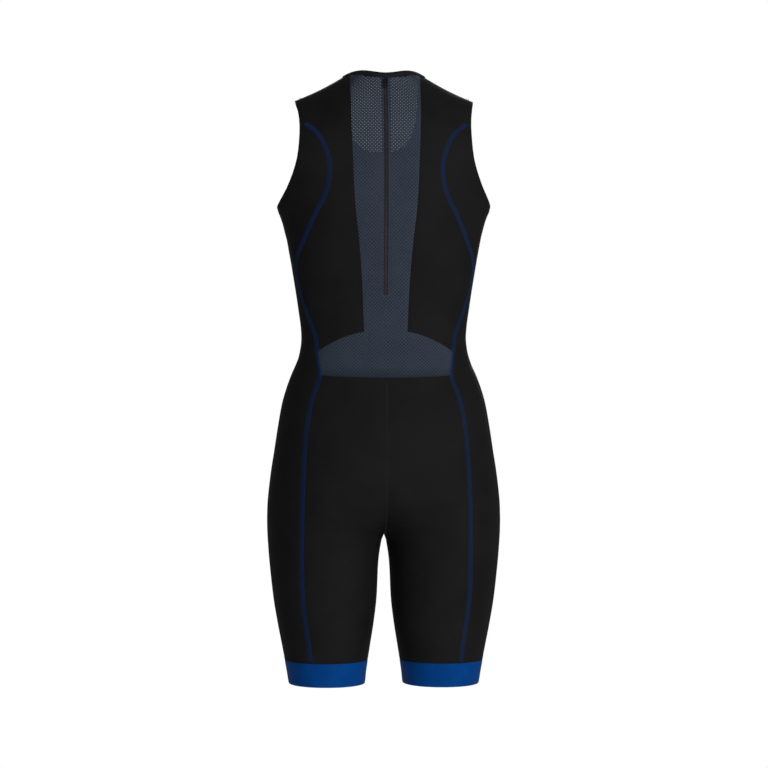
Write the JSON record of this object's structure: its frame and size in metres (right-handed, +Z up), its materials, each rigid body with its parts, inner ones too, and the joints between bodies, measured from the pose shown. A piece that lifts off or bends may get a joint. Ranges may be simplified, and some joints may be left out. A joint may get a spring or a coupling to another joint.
{
  "type": "triathlon suit",
  "caption": "Sleeveless one-piece triathlon suit, worn form with no wearer: mesh back with a zip, black knit panels, short legs and blue hem bands.",
  "frame": {"origin": "between the shoulders, 30 mm below the back neck edge, in the middle of the body from side to side, where the wearer's shoulders carry the suit", "axes": "+X to the wearer's right, +Y towards the garment's front, +Z up; the picture looks along +Y at the back"},
  "size_m": [0.349, 0.229, 0.9113],
  "materials": {
    "black_knit": "black elastane knit, low soft sheen",
    "back_mesh": "slate navy open mesh knit",
    "blue_band": "royal blue elastic gripper band",
    "binding": "near-black folded elastic binding",
    "zip": "dark grey coil zip",
    "zip_metal": "dark enamelled slider and pull",
    "blue_thread": "royal blue flatlock sewing thread",
    "dark_thread": "black sewing thread"
  },
  "bodies": {
    "suit": {"back_mesh_panel": "back_mesh", "back_panel_right": "black_knit", "back_panel_left": "black_knit", "front_panel": "black_knit", "side_panel_right": "black_knit", "side_panel_left": "black_knit", "shorts_back_right": "black_knit", "shorts_back_left": "black_knit", "shorts_front_right": "black_knit", "shorts_front_left": "black_knit", "hem_band_right": "blue_band", "hem_band_left": "blue_band", "neck_binding": "binding", "zip_tape": "zip", "zip_slider": "zip_metal"},
    "pull": {"zip_pull": "zip_metal"}
  },
  "joints": [
    {"name": "pull_hinge", "type": "hinge", "parent": "suit", "child": "pull", "pos_m": [0, -0.06726, 0.00945], "axis": [-1, 0, 0], "range_deg": [0, 110]}
  ]
}
